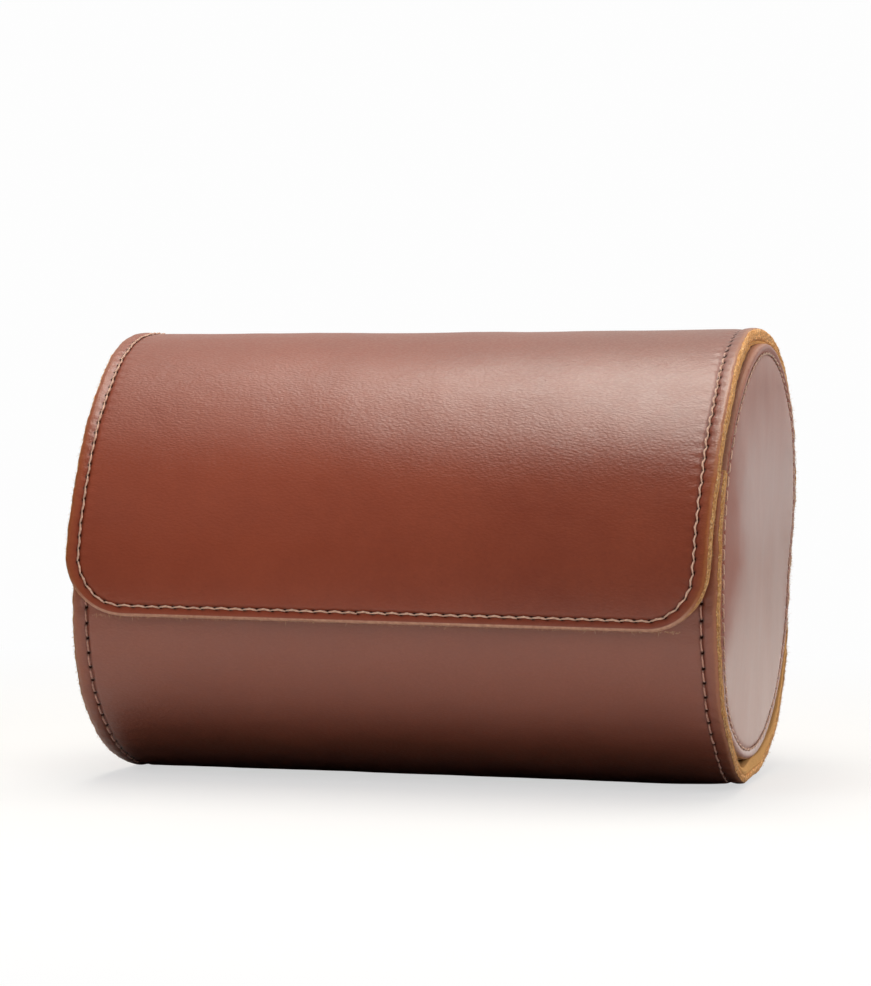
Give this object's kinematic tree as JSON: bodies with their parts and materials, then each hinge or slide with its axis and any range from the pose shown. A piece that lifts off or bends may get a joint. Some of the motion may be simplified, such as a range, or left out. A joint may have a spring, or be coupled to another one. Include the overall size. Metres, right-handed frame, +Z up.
{
  "type": "brush roll case",
  "caption": "Stiff cylindrical leather brush roll case lying on its side, with a stitched flap that folds back and elastic loops inside.",
  "frame": {"origin": "centre of the small flat under the case that it rests on", "axes": "+X along the roll towards the right end, -Y to the front where the flap's free edge is, +Z up"},
  "size_m": [0.1382, 0.1, 0.0962],
  "materials": {
    "leather": "semi-gloss reddish-brown leather, fine pebble grain, raw tan edges",
    "suede": "orange-tan suede lining",
    "thread": "waxed salmon-pink thread",
    "fibreboard": "matt brown compressed fibreboard",
    "foam": "soft dark foam padding",
    "magnet": "plain nickel-plated magnet",
    "elastic": "dark brown woven elastic"
  },
  "bodies": {
    "case_body": {"body_leather": "leather", "body_lining": "suede", "body_stitching": "thread", "lip_magnets": "magnet", "cradle_board": "fibreboard", "cradle_lining": "suede", "cradle_padding": "foam", "left_end_leather": "leather", "left_end_board": "fibreboard", "left_end_lining": "suede", "left_end_stitching": "thread", "right_end_leather": "leather", "right_end_board": "fibreboard", "right_end_lining": "suede", "right_end_stitching": "thread", "loop_band_left": "elastic", "loop_band_right": "elastic", "loop_stitching": "thread"},
    "spine_lower": {"spine_lower_leather": "leather", "spine_lower_lining": "suede", "spine_lower_stitching": "thread"},
    "spine_upper": {"spine_upper_leather": "leather", "spine_upper_lining": "suede", "spine_upper_stitching": "thread"},
    "flap": {"flap_leather": "leather", "flap_lining": "suede", "flap_magnets": "magnet", "flap_stitching": "thread"}
  },
  "joints": [
    {"name": "flap_bend_lower", "type": "hinge", "parent": "case_body", "child": "spine_lower", "pos_m": [0, 0.04122, 0.0708], "axis": [-1, 0, 0], "range_deg": [0, 60]},
    {"name": "flap_bend_middle", "type": "hinge", "parent": "spine_lower", "child": "spine_upper", "pos_m": [0, 0.03571, 0.07852], "axis": [-1, 0, 0], "range_deg": [0, 60]},
    {"name": "flap_bend_upper", "type": "hinge", "parent": "spine_upper", "child": "flap", "pos_m": [0, 0.02883, 0.08506], "axis": [-1, 0, 0], "range_deg": [0, 60]}
  ],
  "couplings": [
    {"joint": "flap_bend_middle", "follows": "flap_bend_lower", "ratio": 1},
    {"joint": "flap_bend_upper", "follows": "flap_bend_lower", "ratio": 1}
  ]
}
